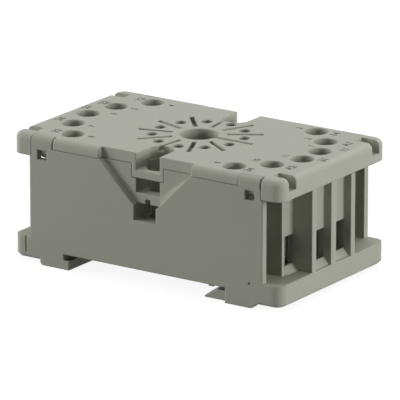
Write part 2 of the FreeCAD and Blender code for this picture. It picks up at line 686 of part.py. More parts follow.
def add_tabs(body):
    """Tabs that close the gaps in the cover's sides, with square holes for its hooks."""
    tabs = []
    rooms = []
    holes = []
    start = "latch_hole_start - hook_play"
    end = "latch_hole_end + hook_play"
    for side in (-1, 1):
        near = "tab_start + seam_gap / 2" if side > 0 else "tab_start + tab_slit"
        far = "tab_end - tab_slit" if side > 0 else "tab_end - seam_gap / 2"
        for hand in (-1, 1):
            wall = sorted_pair(hand, INNER_FACE, HALF_WIDTH)
            tabs.append(rectangle(*sorted_pair(side, near, far), *wall))
            room = sorted_pair(hand, f"{INNER_FACE} - hook_arm - hook_play * 2", INNER_FACE)
            rooms.append(rectangle(*sorted_pair(side, start, end), *room))
        holes.append(rectangle(*sorted_pair(side, "latch_hole_start", "latch_hole_end"),
                               "overall_height - latch_hole_base", "overall_height - latch_hole_top"))
    add_up(body, "tabs", f"{WALL_TOP} - {LAP}", "overall_height", tabs)
    face = number(HALF_WIDTH)
    round_edges(body, "tab_edges", "top_edge_radius",
                lambda edge: level_at("overall_height")(edge)
                and abs(abs(edge.BoundBox.YMin) - face) < CLOSE and edge.BoundBox.YLength < CLOSE)
    cut_up(body, "hook_rooms", "overall_height - latch_hole_base - hook_play", FAR, rooms)
    for side in (-1, 1):
        name = "back" if side > 0 else "front"
        cut_side(body, f"hook_holes_{name}", side, HALF_WIDTH, f"wall_thickness + {LAP}", holes)


def cut_latch_channel(body):
    """Channel between the right foot's cheeks, with a ledge each side that carries the latch."""
    roof = "latch_top + latch_play"
    upper = f"({HALF_WIDTH} - cheek_wall)"
    lower = f"({upper} - ledge_width)"
    cut_up(body, "latch_channel_low", BELOW, roof,
           [rectangle(f"cheek_inner - {LAP}", f"cheek_outer + cheek_chamfer + {LAP}", f"-{lower}", lower)])
    cut_up(body, "latch_channel_high", "ledge_height", roof,
           [rectangle(f"cheek_inner - {LAP}", "cheek_outer", f"-{upper}", upper)])
    tail = "(latch_tail_half + latch_play)"
    cut_up(body, "latch_tail_channel", BELOW, roof,
           [rectangle("cheek_inner", "latch_tail_end + latch_travel + latch_play", f"-{tail}", tail)])
    stops = []
    for hand in (-1, 1):
        across = sorted_pair(hand, f"{HALF_WIDTH} - stop_inset - stop_width", f"{HALF_WIDTH} - stop_inset")
        stops.append(rectangle("stop_x", "stop_x + stop_length", *across))
    add_up(body, "rail_stops", "rail_seat - stop_height", f"rail_seat + {LAP}", stops)


def build_latch():
    """Sliding rail latch: plate with a bowed nose, side wings on the ledges, and a tail."""
    body = new_body("rail_latch")
    half = LATCH_HALF
    core = CORE_HALF
    split = "ledge_height + latch_play"
    block_end = "cheek_inner - latch_travel - latch_play"
    corner = "latch_tip + latch_sweep"
    add_up(body, "nose", "latch_lift", "latch_top", [rectangle(corner, block_end, f"-{half}", half)])
    add_up(body, "wings", split, "latch_top", [rectangle(corner, PLATE_END, f"-{half}", half)])
    add_up(body, "core", "latch_lift", "latch_top",
           [rectangle(corner, PLATE_END, f"-{core}", core)])
    add_up(body, "tail", split, "latch_top",
           [rectangle(f"{PLATE_END} - {LAP}", "latch_tail_end", "-latch_tail_half", "latch_tail_half")])
    add_bow(body, corner, half)
    cut_up(body, "driver_slot", BELOW, FAR,
           [rectangle("latch_tail_end - driver_slot_width * 2", "latch_tail_end - driver_slot_width",
                      "-driver_slot_length / 2", "driver_slot_length / 2")])
    doc.recompute()
    tip = body.Tip
    level = level_at("latch_top")
    front = number("latch_tip") + CLOSE
    edges = []
    for k, edge in enumerate(tip.Shape.Edges, start=1):
        if level(edge) and edge.BoundBox.XMin < front and edge.BoundBox.XLength > CLOSE:
            edges.append(f"Edge{k}")
    slope = body.newObject("PartDesign::Chamfer", "nose_slope")
    slope.Base = (tip, edges)
    slope.ChamferType = "Two distances"
    tie(slope, "Size", "nose_rise")
    tie(slope, "Size2", "nose_run")
    return body


def add_bow(body, corner, half):
    """Bowed front of the nose: one arc from corner to corner through the tip."""
    pad = body.newObject("PartDesign::Pad", "nose_bow")
    sketch = make_sketch(body, "nose_bow", "XY_Plane", "latch_lift", [])
    low = V(number(corner), -number(half), 0)
    high = V(number(corner), number(half), 0)
    front = V(number("latch_tip"), 0, 0)
    arc = Part.Arc(low, front, high)
    curve = sketch.addGeometry(arc, False)
    chord = sketch.addGeometry(Part.LineSegment(high, low), False)
    first, last = (1, 2)
    if sketch.getPoint(curve, 1).y > 0:
        first, last = (2, 1)
    sketch.addConstraint([
        Sketcher.Constraint("Coincident", curve, last, chord, 1),
        Sketcher.Constraint("Coincident", curve, first, chord, 2),
    ])
    place_point(sketch, chord, 1, corner, half)
    place_point(sketch, chord, 2, corner, f"-{half}")
    radius = f"({half} ^ 2 + latch_sweep ^ 2) / (2 * latch_sweep)"
    held = sketch.addConstraint(Sketcher.Constraint("Radius", curve, number(radius)))
    tie(sketch, f"Constraints[{held}]", radius)
    pad.Profile = sketch
    tie(pad, "Length", "latch_top - latch_lift")


def build_contact(count, terminal):
    """Contact: a folded, split sleeve for one relay pin, on the strip of its terminal."""
    x, y, side, hand, pin = terminal
    body = new_body(f"contact_{count:02d}")
    centre = (pin_x(pin), pin_y(pin, hand))
    outer = "(sleeve_room + sleeve_wall)"
    add_up(body, f"strip_{count}", STRIP_BASE, STRIP_TOP,
           [strip_outline(x, y, side, hand, pin, "0")])
    add_up(body, f"sleeve_{count}", STRIP_BASE, f"{PLATE_BASE} - sleeve_drop",
           [square(*centre, outer)])
    cut_up(body, f"sleeve_room_{count}", STRIP_TOP, FAR, [square(*centre, "sleeve_room")])
    slit = rectangle(f"{centre[0]} - {outer} - {LAP}", f"{centre[0]} + {outer} + {LAP}",
                     f"{centre[1]} - sleeve_slit / 2", f"{centre[1]} + sleeve_slit / 2")
    cut_up(body, f"sleeve_slit_{count}", f"{STRIP_TOP} + sleeve_root", FAR, [slit])
    return body


def build_clamp(count, terminal):
    """Rising clamp: a box bent from sheet, open along the wire, with a threaded top."""
    x, y = terminal[:2]
    body = new_body(f"clamp_{count:02d}")
    tie(body, "Placement.Base.x", x)
    tie(body, "Placement.Base.y", y)
    half = "clamp_width / 2"
    inner = f"({half} - clamp_sheet)"
    top = CLAMP_TOP
    length = ("-clamp_length / 2", "clamp_length / 2")
    add_up(body, f"clamp_box_{count}", "clamp_base", top, [rectangle(*length, f"-{half}", half)])
    long_edge = number("clamp_length") - CLOSE
    bevel_edges(body, f"clamp_bends_{count}", "clamp_bend",
                lambda edge: edge.BoundBox.XLength > long_edge)
    cut_up(body, f"clamp_tunnel_{count}", "clamp_base + clamp_sheet", f"{top} - clamp_thread",
           [rectangle("-clamp_length", "clamp_length", f"-{inner}", inner)])
    cut_up(body, f"clamp_thread_hole_{count}", f"{top} - clamp_thread - {LAP}", FAR,
           [circle("0", "0", "screw_radius + screw_play")])
    return body


def build_screw(count, terminal):
    """Captive terminal screw: round head with a cross recess, shank and flat point."""
    x, y = terminal[:2]
    body = new_body(f"terminal_screw_{count:02d}")
    tie(body, "Placement.Base.x", x)
    tie(body, "Placement.Base.y", y)
    head_top = f"{PLATE_BASE} - head_drop"
    tip = f"{STRIP_TOP} + screw_tip_gap"
    add_up(body, f"shank_{count}", tip, head_top, [circle("0", "0", "screw_radius")])
    add_up(body, f"head_{count}", f"{head_top} - head_height", head_top,
           [circle("0", "0", "head_radius")])
    half = "drive_width / 2"
    bar = "drive_reach"
    cross = [
        (bar, f"-{half}"), (bar, half), (half, half), (half, bar), (f"-{half}", bar), (f"-{half}", half),
        (f"-{bar}", half), (f"-{bar}", f"-{half}"), (f"-{half}", f"-{half}"), (f"-{half}", f"-{bar}"),
        (half, f"-{bar}"), (half, f"-{half}"),
    ]
    cut_up(body, f"drive_{count}", f"{head_top} - drive_depth", FAR, [cross])
    return body


pieces = [build_housing(), build_cover(), build_latch()]
for count, terminal in enumerate(TERMINALS, start=1):
    pieces.append(build_contact(count, terminal))
    pieces.append(build_clamp(count, terminal))
    pieces.append(build_screw(count, terminal))
doc.recompute()

failed = [thing.Name for thing in doc.Objects if {"Invalid", "Error"} & set(thing.State)]
if failed:
    raise RuntimeError("failed: " + ", ".join(failed))
for piece in pieces:
    if piece.Shape.isNull() or not piece.Shape.isValid() or len(piece.Shape.Solids) != 1:
        raise RuntimeError("bad shape: " + piece.Label)

os.makedirs("parts", exist_ok=True)
for piece in pieces:
    piece.Shape.exportStep(f"parts/{piece.Label}.step")
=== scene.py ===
import bmesh
import bpy
import json
import math
from bpy.props import FloatProperty, FloatVectorProperty, IntProperty, PointerProperty
from mathutils import Matrix, Vector


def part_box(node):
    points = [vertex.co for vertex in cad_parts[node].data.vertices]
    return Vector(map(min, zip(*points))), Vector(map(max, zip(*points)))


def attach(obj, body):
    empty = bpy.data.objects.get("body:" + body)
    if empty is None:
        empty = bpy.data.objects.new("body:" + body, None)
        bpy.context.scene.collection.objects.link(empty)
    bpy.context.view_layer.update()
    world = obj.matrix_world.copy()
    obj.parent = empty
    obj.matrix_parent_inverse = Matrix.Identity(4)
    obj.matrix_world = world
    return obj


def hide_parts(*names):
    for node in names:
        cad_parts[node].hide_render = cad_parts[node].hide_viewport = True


bl_info = {
    "name": "Relay Socket",
    "version": (1, 0, 0),
    "blender": (4, 5, 0),
    "location": "View3D > Sidebar > Relay Socket",
    "description": "Finishes, hardware, terminal numbers and stage of an eleven-pin relay socket",
    "category": "Object",
}

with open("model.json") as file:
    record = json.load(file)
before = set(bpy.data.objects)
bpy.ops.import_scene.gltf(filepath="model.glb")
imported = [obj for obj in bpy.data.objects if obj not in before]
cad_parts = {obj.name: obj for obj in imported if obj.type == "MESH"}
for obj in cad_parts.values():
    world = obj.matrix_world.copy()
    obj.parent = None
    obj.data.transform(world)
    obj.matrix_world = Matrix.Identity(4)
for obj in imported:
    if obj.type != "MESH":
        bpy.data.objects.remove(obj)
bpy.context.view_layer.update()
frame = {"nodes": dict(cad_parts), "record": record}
MM = 0.001
TERMINALS = [f"{count:02d}" for count in range(1, 12)]

# Surfaces: how much a pattern changes the plain finish.
FLOW_LIGHT, FLOW_DARK = 1.05, 0.94      # shade where a flow mark is palest and darkest
GRAIN_SHADE = 0.03                      # shade, up and down, with the grain
GRAIN_STRENGTH = 0.35
PLASTIC_SPREAD = 0.05                   # roughness, up and down, with the flow marks
# The edges get a painted highlight: a paler shade mixed into the colour where the rounded normal
# turns away from the flat one.
EDGE_LIGHT_START, EDGE_LIGHT_FULL = 0.99, 0.86        # cosine between the rounded and the flat surface at an edge
EDGE_LIGHT_SHARE = 0.45                        # most of the painted edge highlight's paler shade in the mix
BRIGHT_SIDE, DULL_SIDE = 0.06, 0.14     # roughness of plating, below and above its mean
TOOL_MARKS = 0.1 * MM                   # as drawn, see plated_metal
TOOL_MARK_DEPTH = 0.004 * MM
TOOL_MARK_STRENGTH = 0.25
METAL_EDGE = 0.08 * MM
THIN_SPOTS = 0.25 * MM                  # as drawn, see printed_ink
PAPER_FIBRES = MM                       # as drawn, see matt_card

# Shapes
FINE_ANGLE = 9                          # degrees between faces from which moulded shapes stay sharp
BEVEL_ANGLE = 35                        # degrees between faces from which an edge is broken
MARGIN = MM                             # how far a cutting box stands past what it cuts
OVERLAP = 0.3 * MM                      # how far a cutting cylinder does
ROOM_START = 0.5 * MM                   # how far a wire room reaches over its clamp's mouth
CLAMP_INNER_BEND = 0.15 * MM
HOLE_PLAY = 1.03                        # thread hole of the clamp, times the thread
POINT_STEP = 0.15 * MM                  # the screw's point, thinner than the thread's core
POINT_LENGTH = 0.25 * MM
NECK_LENGTH = 0.6 * MM
TURNED_EDGE = 0.1 * MM                  # small slopes at the neck and under the head
RECESS_BREAK = 0.04 * MM
RECESS_FLOOR, RECESS_MOUTH = 0.72, 1.03 # size of the cross at its floor and just above the head
RECESS_ABOVE = 0.1 * MM
FIGURE_HEIGHT = 0.7                     # height of a figure of the built-in font, times its size
INK_SPREAD = 0.035                      # how far ink runs out, times the height of a figure

# Softboxes: name, place and size in metres, and whether gloss shows them. The last two are low: seen
# from the far side, their reflections would lie as a glare on the top.
SOFTBOXES = [
    ("top", (0.0, 0.10, 0.95), 0.9, True),
    ("back", (0.10, 0.72, 0.68), 0.6, True),
    ("right", (0.97, 0.12, 0.24), 0.4, False),
    ("left", (-0.85, -0.50, 0.30), 0.5, False),
]
FLOOR_HALF = 1.5                        # metres
CAMERA_AIM = (2.30, -3.05, 14.40)       # mm
SENSOR_WIDTH = 36.0                     # mm

# Terminal numbers: text beside the pin and its place, text beside the hole and its place, in mm.
NUMBERS = [
    ("1", 23.35, 5.53, "11", 30.35, 6.98),
    ("2", 20.02, 9.65, "A1", 28.68, 10.84),
    ("3", 14.37, 15.10, "14", 22.76, 15.34),
    ("4", -16.61, 14.45, "12", -24.63, 14.75),
    ("5", -21.39, 8.05, "22", -29.30, 8.40),
    ("6", -22.90, 2.69, "21", -30.29, 3.81),
    ("11", 23.06, -3.27, "31", 30.85, -1.34),
    ("10", 19.91, -9.13, "A2", 28.45, -9.58),
    ("9", 14.58, -14.75, "34", 22.47, -15.36),
    ("8", -16.81, -13.68, "32", -25.04, -14.10),
    ("7", -21.20, -7.32, "24", -29.60, -6.57),
]


def linear(code):
    """Linear colour of an sRGB hex value."""
    parts = [int(code[k:k + 2], 16) / 255 for k in (1, 3, 5)]
    return tuple(c / 12.92 if c <= 0.04045 else ((c + 0.055) / 1.055) ** 2.4 for c in parts) + (1.0,)


def colour(name, description, code):
    return FloatVectorProperty(name=name, description=description, subtype="COLOR", size=4,
                               min=0, max=1, default=linear(code))


def length(name, description, value_mm):
    return FloatProperty(name=name, description=description, unit="LENGTH", min=0, precision=5,
                         default=value_mm * MM)


def share(name, description, value):
    return FloatProperty(name=name, description=description, subtype="FACTOR", min=0, max=1,
                         default=value)


def angle(name, description, degrees):
    return FloatProperty(name=name, description=description, unit="ROTATION",
                         default=math.radians(degrees))


def power(name, description, watts):
    return FloatProperty(name=name, description=description, unit="POWER", min=0, default=watts)


class PlasticSettings(bpy.types.PropertyGroup):
    """Colours and surface of the moulded pieces."""
    housing_colour: colour("Housing", "Shade of the moulded base", "#AEAFA1")
    cover_colour: colour("Cover", "Shade of the clip-on cover", "#B4B5A7")
    latch_colour: colour("Latch", "Shade of the rail latch", "#A9AA9D")
    # The paler shade of the painted highlight along the edges.
    edge_highlight_colour: colour("Edges", "Shade of the rubbed edges", "#CBCBC1")
    roughness: share("Roughness", "Mean roughness of the moulded surface", 0.52)
    grain_pitch: length("Grain", "Spacing of the spark-eroded grain", 0.32)
    grain_depth: length("Grain Depth", "Height of the spark-eroded grain", 0.012)
    flow_pitch: length("Flow Marks", "Spacing of the faint flow marks", 14.0)
    edge_radius: length("Edge Radius", "How far the edges look rounded", 0.4)


class MetalSettings(bpy.types.PropertyGroup):
    """Colours and surface of the metal pieces."""
    zinc_colour: colour("Zinc", "Zinc plating of screws and clamps", "#C3C6C8")
    tarnish_colour: colour("Dull Zinc", "Duller patches of the plating", "#8E9294")
    tin_colour: colour("Tin", "Tin plating of the contacts", "#CFCFCA")
    zinc_roughness: share("Zinc Roughness", "Roughness of the zinc plating", 0.32)
    tin_roughness: share("Tin Roughness", "Roughness of the tin plating", 0.24)
    patch_pitch: length("Patches", "Spacing of the duller patches", 0.9)


class HardwareSettings(bpy.types.PropertyGroup):
    """Sizes of the clamps and screws, which the frame leaves plain, and of the wire rooms."""
    sheet: length("Clamp Sheet", "Sheet thickness of the clamp", 0.8)
    threaded_top: length("Threaded Top", "Thickness of the clamp's threaded top", 1.4)
    bend_radius: length("Bend Radius", "Outer radius of the clamp's bends", 0.6)
    edge_break: length("Edge Break", "Rounding of the stamped edges", 0.08)
    ridge_height: length("Ridge Height", "Height of the gripping ridges in the clamp", 0.15)
    ridges: IntProperty(name="Ridges", description="Gripping ridges in the clamp", min=1, default=5)
    window_lip: length("Window Lip", "Thickness of the wall at the edge of a wire window", 0.35)
    room_side: length("Room Side", "Wire room, wider than its window on each side", 0.35)
    room_base: length("Room Base", "Feet to the floor of the wire rooms", 6.4)
    room_top: length("Room Top", "Feet to the top of the wire rooms", 13.0)
    panel_gap: length("Panel Gap", "Open clamp to the outside of the wall in front of it", 1.6)
    shank_radius: length("Thread Radius", "Outer radius of the screw thread", 1.5)
    thread_pitch: length("Thread Pitch", "Rise of the thread in one turn", 0.5)
    thread_depth: length("Thread Depth", "Depth of the thread", 0.28)
    head_height: length("Head Height", "Height of the screw head", 2.0)
    head_round: length("Head Rounding", "Rounded rim of the screw head", 0.45)
    recess_reach: length("Recess Reach", "Length of an arm of the cross recess", 1.65)
    recess_width: length("Recess Width", "Width of the cross recess", 0.8)
    recess_depth: length("Recess Depth", "Depth of the cross recess", 1.1)


class LatchSettings(bpy.types.PropertyGroup):
    """Sizes of the latch's nose and of its room in the right foot."""
    tip: length("Nose Tip", "Middle of the socket to the foremost point of the nose", 12.4)
    sweep: length("Nose Sweep", "How far the nose falls back at its corners", 1.4)
    rise: length("Nose Rise", "Height of the sloped front", 1.7)
    run: length("Nose Run", "Length of the sloped front", 3.0)
    sole: length("Sole", "Floor to the underside of the nose", 0.1)
    cheek: length("Cheek", "Middle of the socket to the inner end of the right foot", 19.3)
    nose_gap: length("Nose Gap", "Closed nose to the right foot", 0.6)
    travel: length("Travel", "Latch, closed to open", 2.8)
    play: length("Play", "Latch to its channel", 0.2)


class NumberSettings(bpy.types.PropertyGroup):
    """Size and ink of the printed terminal numbers."""
    ink_colour: colour("Ink", "Pad-printed ink", "#40403A")
    worn_colour: colour("Thin Ink", "Ink where it is thin", "#66665E")
    inner_height: length("Pin Numbers", "Height of the pin numbers", 1.4)
    outer_height: length("Terminal Numbers", "Height of the terminal numbers", 1.65)
    film: length("Ink Film", "Height of the ink over the cover", 0.012)


class StageSettings(bpy.types.PropertyGroup):
    """Floor, lamps and camera."""
    floor_colour: colour("Floor", "Matt card under the socket", "#808080")
    card_glow: share("Card Glow", "Own light of the card, to the eye and in gloss only", 0.9)
    azimuth: angle("Azimuth", "Camera, turned from the long front side to the right end", 34.217)
    elevation: angle("Elevation", "Camera above the floor", 16.728)
    distance: length("Distance", "Camera to the middle of the picture", 1076.2)
    lens: FloatProperty(name="Lens", description="Focal length in millimetres on a 36 mm sensor",
                        subtype="NONE", min=1, default=480.7)
    top_power: power("Top Softbox", "Power of the softbox overhead", 2.5)
    back_power: power("Back Softbox", "Power of the softbox above, behind", 2.2)
    right_power: power("Right Softbox", "Power of the softbox low at the right", 6.5)
    left_power: power("Left Softbox", "Power of the softbox low at the left", 7.8)
    ambient: share("Ambient", "Even light from all round", 0.0)


class SocketSettings(bpy.types.PropertyGroup):
    """All settings of the relay socket."""
    plastic: PointerProperty(type=PlasticSettings)
    metal: PointerProperty(type=MetalSettings)
    hardware: PointerProperty(type=HardwareSettings)
    latch: PointerProperty(type=LatchSettings)
    numbers: PointerProperty(type=NumberSettings)
    stage: PointerProperty(type=StageSettings)


# Materials

def add_node(tree, kind, inputs=None, **settings):
    """One node with its settings; each input gets a value or a link from a socket."""
    node = tree.nodes.new(kind)
    for key, value in settings.items():
        setattr(node, key, value)
    for key, value in (inputs or {}).items():
        if isinstance(value, bpy.types.NodeSocket):
            tree.links.new(value, node.inputs[key])
        else:
            node.inputs[key].default_value = value
    return node


def new_material(name):
    """An empty node material and its tree."""
    material = bpy.data.materials.new(name)
    material.use_nodes = True
    material.node_tree.nodes.clear()
    return material, material.node_tree


def finish_tree(tree, shader):
    """Lead the shader to the output of the material."""
    add_node(tree, "ShaderNodeOutputMaterial", {"Surface": shader.outputs[0]})


def moulded_polyamide(name, shade, plastic):
    """Grey polyamide, injection-moulded in a spark-eroded mould.

    The grain breaks up the gloss, faint flow marks vary the shade, and the edges, which are never
    quite sharp, get a painted highlight: a paler shade mixed into their colour.
    """
    material, tree = new_material(name)
    place = add_node(tree, "ShaderNodeTexCoord").outputs["Object"]
    # Real grain of this kind is about 0.05 mm across and too fine to show, so it is drawn coarser.
    grain = add_node(tree, "ShaderNodeTexNoise", {
        "Vector": place, "Scale": 1 / plastic.grain_pitch, "Detail": 2.0, "Roughness": 0.6})
    # Flow marks stretch along the length, the way that the plastic ran from the middle of the mould.
    stretched = add_node(tree, "ShaderNodeMapping", {"Vector": place, "Scale": (0.4, 1.0, 1.0)})
    flow = add_node(tree, "ShaderNodeTexNoise", {
        "Vector": stretched.outputs["Vector"], "Scale": 1 / plastic.flow_pitch, "Detail": 3.0})
    lighter = [min(1.0, c * FLOW_LIGHT) for c in shade[:3]] + [1.0]
    darker = [c * FLOW_DARK for c in shade[:3]] + [1.0]
    body = add_node(tree, "ShaderNodeMix", {
        "Factor": flow.outputs["Fac"], "A": darker, "B": lighter}, data_type="RGBA")
    speckle = add_node(tree, "ShaderNodeMapRange", {
        "Value": grain.outputs["Fac"], "From Min": 0.3, "From Max": 0.7,
        "To Min": 1 - GRAIN_SHADE, "To Max": 1 + GRAIN_SHADE})
    tinted = add_node(tree, "ShaderNodeVectorMath", {
        0: body.outputs["Result"], 3: speckle.outputs["Result"]}, operation="SCALE")
    soft = add_node(tree, "ShaderNodeBevel", {"Radius": plastic.edge_radius}, samples=6)
    flat = add_node(tree, "ShaderNodeNewGeometry")
    # Painted highlight: the paler edge shade is mixed in where the rounded normal turns from the flat
    # one.
    facing = add_node(tree, "ShaderNodeVectorMath", {
        0: soft.outputs["Normal"], 1: flat.outputs["Normal"]}, operation="DOT_PRODUCT")
    highlighted = add_node(tree, "ShaderNodeMapRange", {
        "Value": facing.outputs["Value"], "From Min": EDGE_LIGHT_START, "From Max": EDGE_LIGHT_FULL,
        "To Min": 0.0, "To Max": EDGE_LIGHT_SHARE})
    base = add_node(tree, "ShaderNodeMix", {
        "Factor": highlighted.outputs["Result"], "A": tinted.outputs["Vector"], "B": plastic.edge_highlight_colour},
        data_type="RGBA")
    rough = add_node(tree, "ShaderNodeMapRange", {
        "Value": flow.outputs["Fac"],
        "To Min": plastic.roughness - PLASTIC_SPREAD, "To Max": plastic.roughness + PLASTIC_SPREAD})
    bump = add_node(tree, "ShaderNodeBump", {
        "Strength": GRAIN_STRENGTH, "Distance": plastic.grain_depth, "Height": grain.outputs["Fac"],
        "Normal": soft.outputs["Normal"]})
    finish_tree(tree, add_node(tree, "ShaderNodeBsdfPrincipled", {
        "Base Color": base.outputs["Result"], "Roughness": rough.outputs["Result"], "IOR": 1.53,
        "Normal": bump.outputs["Normal"]}))
    return material


def plated_metal(name, bright, dull, roughness, metal, scratch):
    """Plated metal with duller patches, and fine marks left by the tool along one direction."""
    material, tree = new_material(name)
    place = add_node(tree, "ShaderNodeTexCoord").outputs["Object"]
    patches = add_node(tree, "ShaderNodeTexNoise", {
        "Vector": place, "Scale": 1 / metal.patch_pitch, "Detail": 4.0, "Roughness": 0.65})
    base = add_node(tree, "ShaderNodeMix", {
        "Factor": patches.outputs["Fac"], "A": bright, "B": dull}, data_type="RGBA")
    rough = add_node(tree, "ShaderNodeMapRange", {
        "Value": patches.outputs["Fac"],
        "To Min": roughness - BRIGHT_SIDE, "To Max": roughness + DULL_SIDE})
    marks = add_node(tree, "ShaderNodeMapping", {"Vector": place, "Scale": scratch})
    # Rolling and turning marks are near 0.02 mm apart; they are drawn about 0.1 mm apart.
    lines = add_node(tree, "ShaderNodeTexNoise", {
        "Vector": marks.outputs["Vector"], "Scale": 1 / TOOL_MARKS, "Detail": 1.0})
    soft = add_node(tree, "ShaderNodeBevel", {"Radius": METAL_EDGE}, samples=4)
    bump = add_node(tree, "ShaderNodeBump", {
        "Strength": TOOL_MARK_STRENGTH, "Distance": TOOL_MARK_DEPTH, "Height": lines.outputs["Fac"],
        "Normal": soft.outputs["Normal"]})
    finish_tree(tree, add_node(tree, "ShaderNodeBsdfPrincipled", {
        "Base Color": base.outputs["Result"], "Roughness": rough.outputs["Result"], "Metallic": 1.0,
        "Normal": bump.outputs["Normal"]}))
    return material


def printed_ink(name, numbers):
    """Grey two-part ink, pad-printed: matt, and thin in places where the pad lifted off."""
    material, tree = new_material(name)
    place = add_node(tree, "ShaderNodeTexCoord").outputs["Object"]
    # The thin places are under 0.1 mm across and are drawn about 0.25 mm across.
    thin = add_node(tree, "ShaderNodeTexNoise", {
        "Vector": place, "Scale": 1 / THIN_SPOTS, "Detail": 2.0, "Roughness": 0.7})
    spots = add_node(tree, "ShaderNodeMapRange", {
        "Value": thin.outputs["Fac"], "From Min": 0.45, "From Max": 0.65})
    base = add_node(tree, "ShaderNodeMix", {
        "Factor": spots.outputs["Result"], "A": numbers.ink_colour, "B": numbers.worn_colour},
        data_type="RGBA")
    finish_tree(tree, add_node(tree, "ShaderNodeBsdfPrincipled", {
        "Base Color": base.outputs["Result"], "Roughness": 0.7, "IOR": 1.5}))
    return material


def dress(node, material):
    """Give a node of the frame its material."""
    mesh = frame["nodes"][node].data
    mesh.materials.clear()
    mesh.materials.append(material)


# Meshes

def mesh_object(name, mesh, material):
    """An object of the mesh in the scene, with its material."""
    mesh.name = name
    mesh.materials.clear()
    mesh.materials.append(material)
    thing = bpy.data.objects.new(name, mesh)
    bpy.context.scene.collection.objects.link(thing)
    return thing


def from_bmesh(name, shape):
    """The shape as a mesh with its faces outward; the shape is freed."""
    mesh = bpy.data.meshes.new(name)
    bmesh.ops.recalc_face_normals(shape, faces=shape.faces)
    shape.to_mesh(mesh)
    shape.free()
    return mesh


def skin(rows, closed_ends=True):
    """A closed surface over rows of points, each row a ring with as many points as the next."""
    shape = bmesh.new()
    rings = [[shape.verts.new(point) for point in row] for row in rows]
    for low, high in zip(rings, rings[1:]):
        for k in range(len(low)):
            after = (k + 1) % len(low)
            shape.faces.new((low[k], low[after], high[after], high[k]))
    if closed_ends:
        shape.faces.new(rings[0][::-1])
        shape.faces.new(rings[-1])
    return shape


def add_box(shape, low, high):
    """A box between two corners."""
    corners = bmesh.ops.create_cube(shape, size=1.0)["verts"]
    for corner in corners:
        corner.co = [a if c < 0 else b for c, a, b in zip(corner.co, low, high)]


def cut(mesh, tool, bevel=None, operation="DIFFERENCE"):
    """The mesh less the tool, or with it, and with its sharp edges rounded where a bevel is given."""
    target = bpy.data.objects.new("work", mesh)
    cutter = bpy.data.objects.new("tool", tool)
    for thing in (target, cutter):
        bpy.context.scene.collection.objects.link(thing)
    pocket = target.modifiers.new("pocket", "BOOLEAN")
    pocket.operation = operation
    pocket.object = cutter
    pocket.solver = "EXACT"
    if bevel:
        rounding = target.modifiers.new("rounding", "BEVEL")
        rounding.width = bevel
        rounding.segments = 2
        rounding.limit_method = "ANGLE"
        rounding.angle_limit = math.radians(BEVEL_ANGLE)
    bpy.context.view_layer.update()
    graph = bpy.context.evaluated_depsgraph_get()
    result = bpy.data.meshes.new_from_object(target.evaluated_get(graph))
    bpy.data.objects.remove(target)
    bpy.data.objects.remove(cutter)
    if not result.polygons:
        raise RuntimeError("a cut left nothing of " + mesh.name)
    return result


def smooth(mesh, degrees):
    """Smooth shading, kept sharp where faces meet at more than the given angle."""
    mesh.polygons.foreach_set("use_smooth", [True] * len(mesh.polygons))
    mesh.set_sharp_from_angle(angle=math.radians(degrees))


def rounded_ring(left, right, low, high, radius, steps):
    """Points round a rectangle with rounded corners."""
    points = []
    corners = ((right - radius, high - radius, 0), (left + radius, high - radius, 90),
               (left + radius, low + radius, 180), (right - radius, low + radius, 270))
    for y, z, start in corners:
        for k in range(steps + 1):
            turn = math.radians(start + 90 * k / steps)
            points.append((y + radius * math.cos(turn), z + radius * math.sin(turn)))
    return points


def clamp_mesh(hardware, size):
    """Bent sheet box, open along the wire, with gripping ridges on its floor and a threaded top."""
    half_length, half_width, height = size.x / 2, size.y / 2, size.z
    steps = 5
    outer = rounded_ring(-half_width, half_width, 0, height, hardware.bend_radius, steps)
    inner_half = half_width - hardware.sheet
    inner = rounded_ring(-inner_half, inner_half, hardware.sheet, height - hardware.threaded_top,
                         CLAMP_INNER_BEND, steps)
    stations = hardware.ridges * 2
    rows = []
    for k in range(stations + 1):
        x = -half_length + size.x * k / stations
        rows.append([(x, y, z) for y, z in outer])
    # The way back runs along the inside, where every other row of the floor stands up as a ridge.
    middle = (hardware.sheet + height - hardware.threaded_top) / 2
    for k in range(stations, -1, -1):
        x = -half_length + size.x * k / stations
        lift = hardware.ridge_height if k % 2 else 0.0
        rows.append([(x, y, z + lift if z < middle else z) for y, z in inner])
    shape = skin(rows, closed_ends=False)
    shape.verts.ensure_lookup_table()
    count = len(outer)
    last = (len(rows) - 1) * count
    for k in range(count):
        after = (k + 1) % count
        shape.faces.new([shape.verts[i] for i in (k, after, last + after, last + k)])
    hole_radius = hardware.shank_radius * HOLE_PLAY
    hole = skin([[(hole_radius * math.cos(t), hole_radius * math.sin(t), z)
                  for t in (math.tau * k / 36 for k in range(36))]
                 for z in (height - hardware.threaded_top - OVERLAP, height + OVERLAP)])
    mesh = cut(from_bmesh("clamp", shape), from_bmesh("thread hole", hole), hardware.edge_break)
    smooth(mesh, 30)
    return mesh


